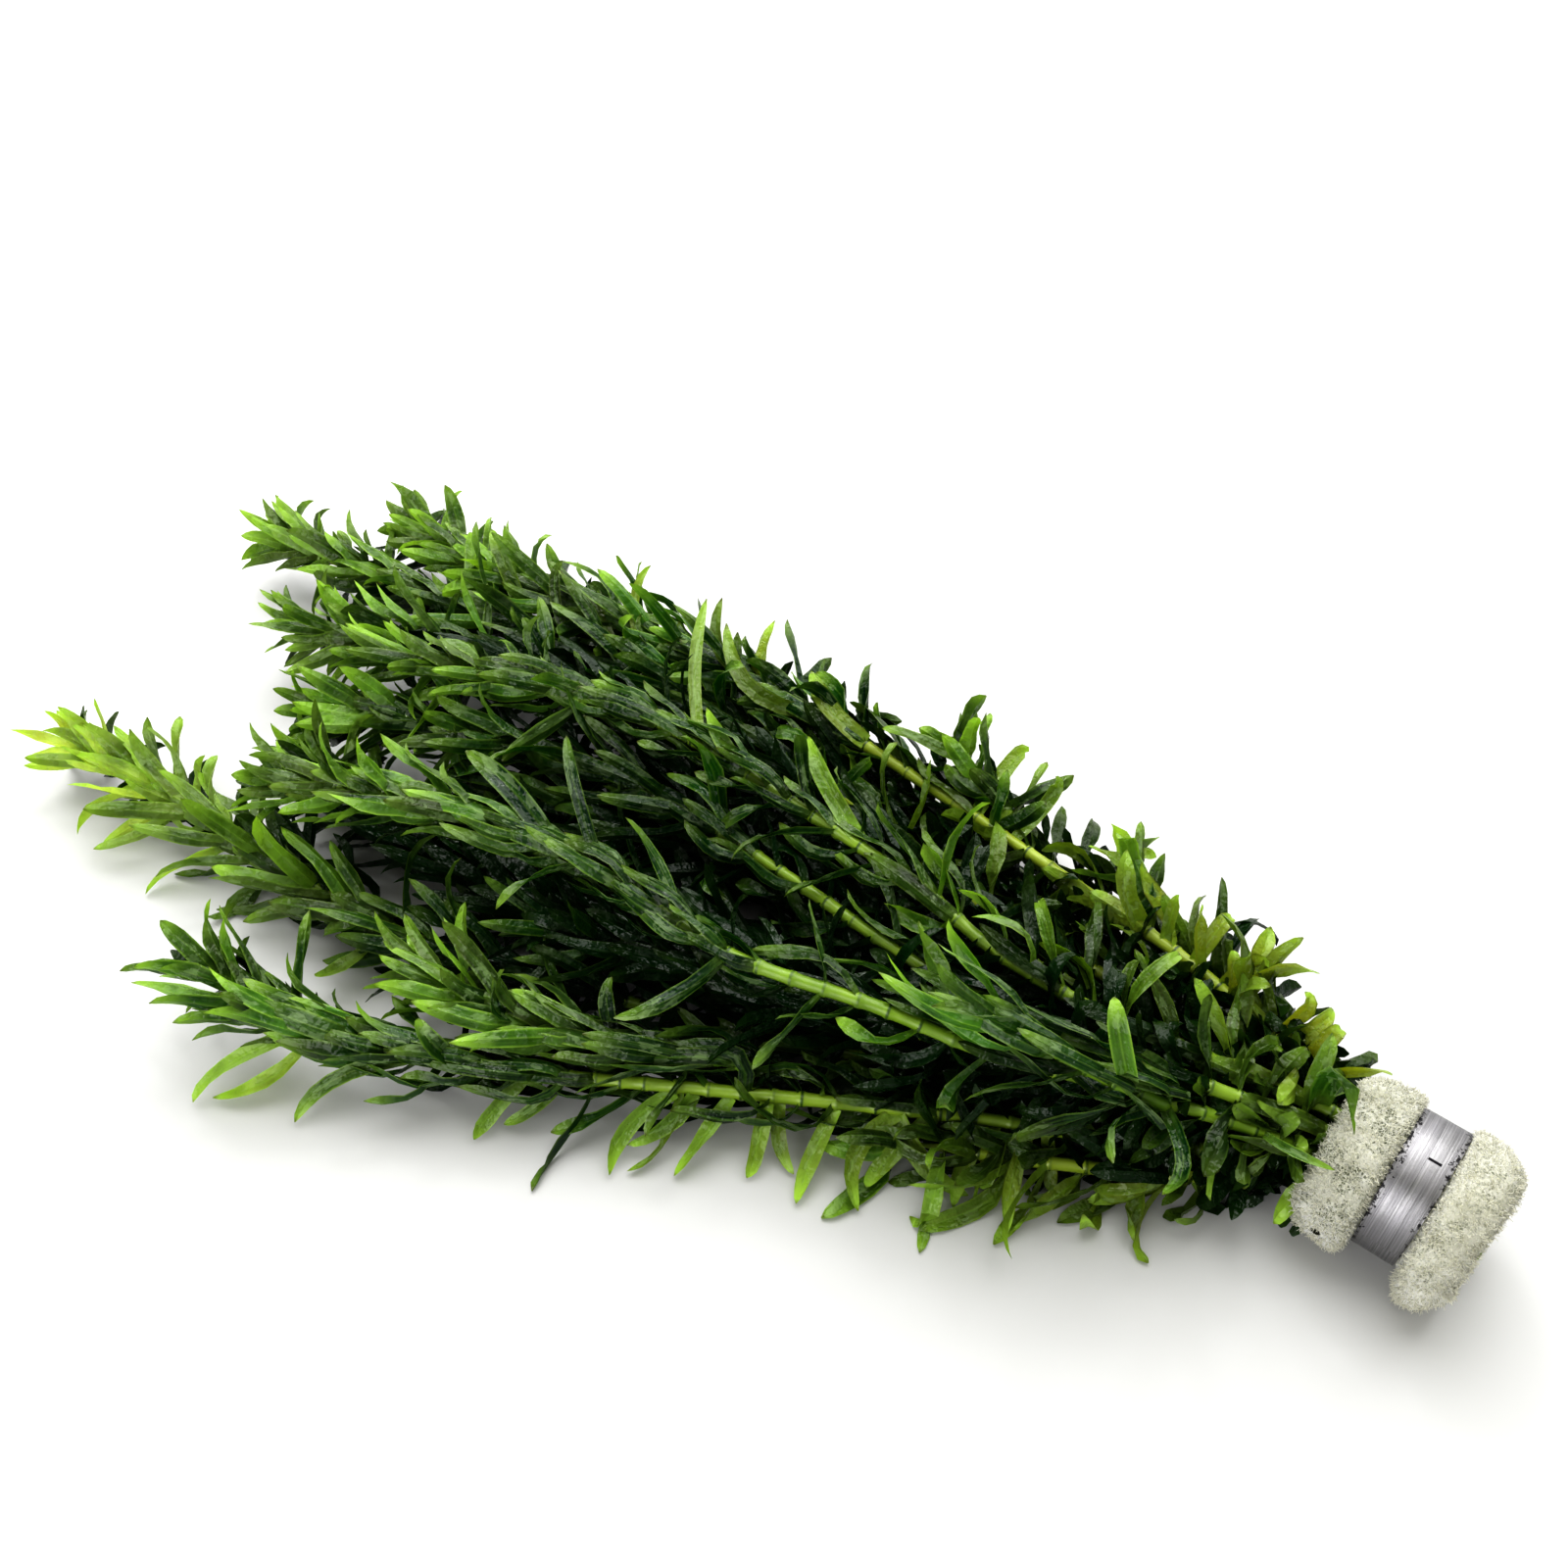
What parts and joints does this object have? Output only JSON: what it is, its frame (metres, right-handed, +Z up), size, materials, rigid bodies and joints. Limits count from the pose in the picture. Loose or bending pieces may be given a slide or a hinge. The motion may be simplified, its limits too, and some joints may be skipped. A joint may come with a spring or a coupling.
{
  "type": "brazilian waterweed bunch",
  "caption": "Bunch of leafy green waterweed stems lying on its side, gathered in a sponge wrap held by a wound strip of lead.",
  "frame": {"origin": "on the table under the middle of the whole bunch", "axes": "+X from the shoot tips towards the cut ends in the sponge wrap, +Z up from the table"},
  "size_m": [0.2964, 0.1468, 0.0503],
  "materials": {
    "leafy_stem": "wet living leaf, bright yellow-green at the tips and nearly black-green in the shade, with a wet gloss",
    "sponge": "open-cell cream sponge, matt and full of fine holes",
    "lead": "soft grey lead with fine drawn lines along the strip and ragged dark edges"
  },
  "bodies": {
    "root": {"stem_01": "leafy_stem", "stem_02": "leafy_stem", "stem_03": "leafy_stem", "stem_04": "leafy_stem", "stem_05": "leafy_stem", "stem_06": "leafy_stem", "stem_07": "leafy_stem", "stem_08": "leafy_stem", "stem_09": "leafy_stem", "stem_10": "leafy_stem", "stem_11": "leafy_stem", "side_shoot_1": "leafy_stem", "side_shoot_2": "leafy_stem", "side_shoot_3": "leafy_stem", "side_shoot_4": "leafy_stem", "foam_wrap": "sponge", "lead_strip": "lead"}
  },
  "joints": []
}
